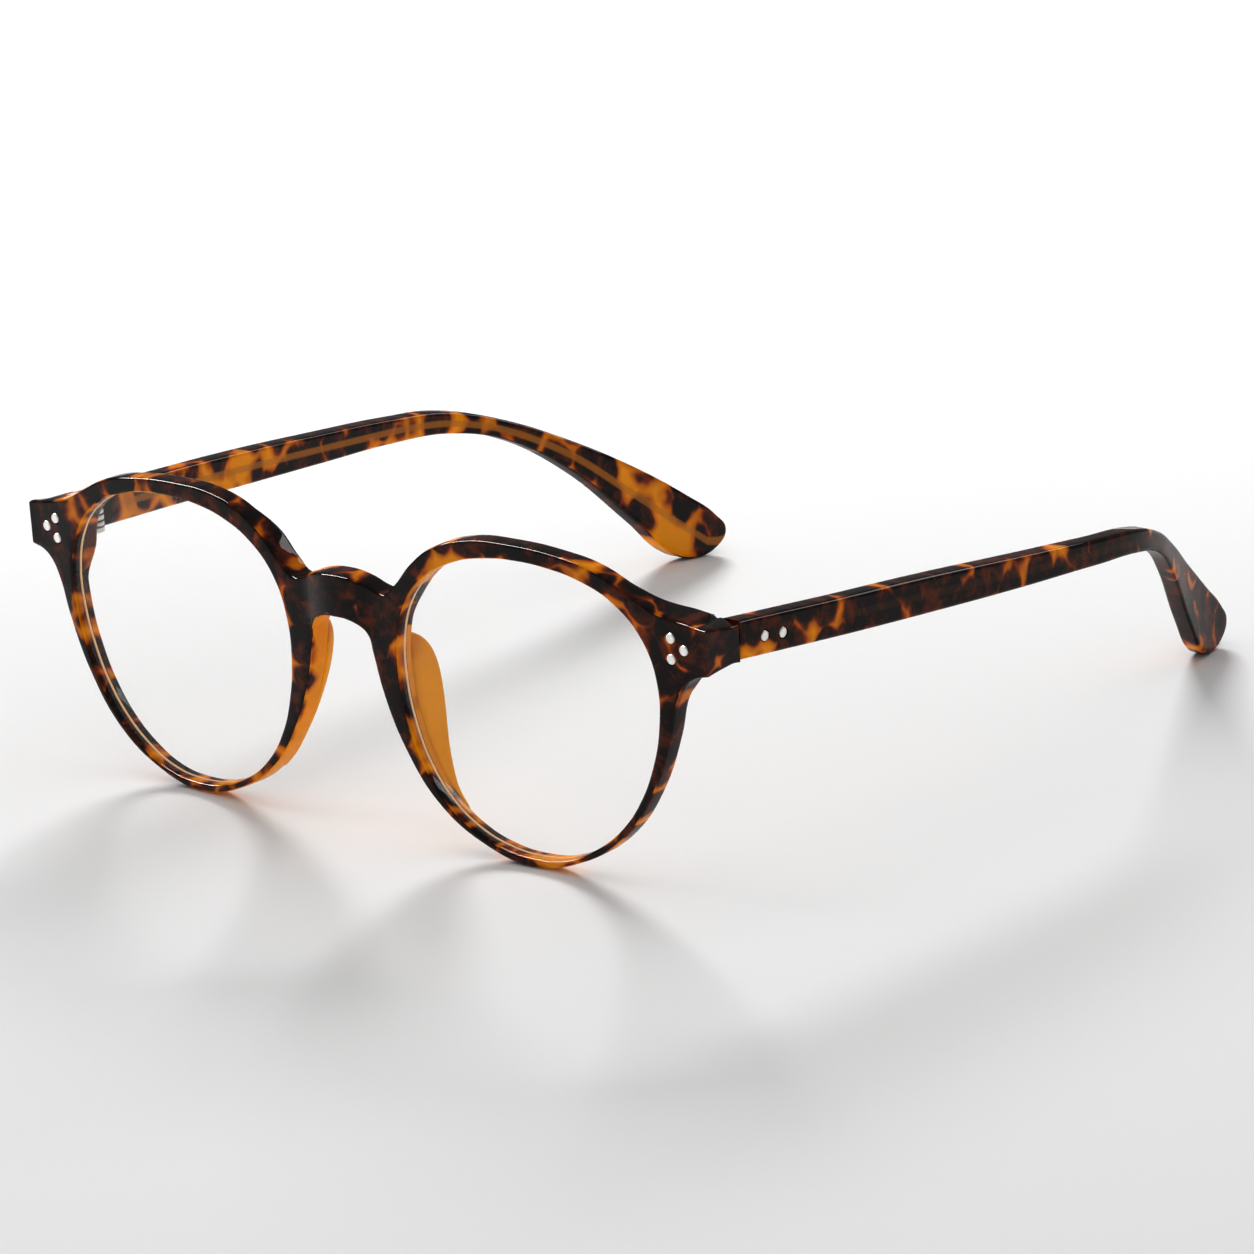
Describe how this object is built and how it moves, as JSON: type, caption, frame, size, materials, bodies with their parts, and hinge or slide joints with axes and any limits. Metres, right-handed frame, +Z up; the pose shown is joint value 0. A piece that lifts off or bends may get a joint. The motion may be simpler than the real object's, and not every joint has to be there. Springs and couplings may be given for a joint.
{
  "type": "spectacles",
  "caption": "Round acetate spectacles in tortoiseshell with clear lenses, honey nose pads, riveted barrel hinges and temples that fold in.",
  "frame": {"origin": "under the middle of the spectacles, on the surface that they stand on", "axes": "+Z up, +X to the wearer's left, the front faces -Y and the open temples run towards +Y"},
  "size_m": [0.151, 0.1492, 0.0503],
  "materials": {
    "tortoiseshell_acetate": "polished",
    "honey_acetate": "polished",
    "clear_lens": "clear, polished",
    "polished_steel": "polished nickel silver"
  },
  "bodies": {
    "front_frame": {"front": "tortoiseshell_acetate", "lens_left": "clear_lens", "nose_pad_left": "honey_acetate", "hinge_front_left": "polished_steel", "hinge_screw_left": "polished_steel", "front_rivet_left_1": "polished_steel", "front_rivet_left_2": "polished_steel", "front_rivet_left_3": "polished_steel", "lens_right": "clear_lens", "nose_pad_right": "honey_acetate", "hinge_front_right": "polished_steel", "hinge_screw_right": "polished_steel", "front_rivet_right_1": "polished_steel", "front_rivet_right_2": "polished_steel", "front_rivet_right_3": "polished_steel"},
    "left_arm": {"temple_left": "tortoiseshell_acetate", "core_wire_left": "polished_steel", "hinge_temple_left": "polished_steel", "temple_rivet_left_1": "polished_steel", "temple_rivet_left_2": "polished_steel"},
    "right_arm": {"temple_right": "tortoiseshell_acetate", "core_wire_right": "polished_steel", "hinge_temple_right": "polished_steel", "temple_rivet_right_1": "polished_steel", "temple_rivet_right_2": "polished_steel"}
  },
  "joints": [
    {"name": "left_temple_fold", "type": "hinge", "parent": "front_frame", "child": "left_arm", "pos_m": [0.0643, -0.06201, 0.0379], "axis": [0, 0, 1], "range_deg": [0, 88]},
    {"name": "right_temple_fold", "type": "hinge", "parent": "front_frame", "child": "right_arm", "pos_m": [-0.0643, -0.06201, 0.0379], "axis": [0, 0, -1], "range_deg": [0, 77]}
  ]
}
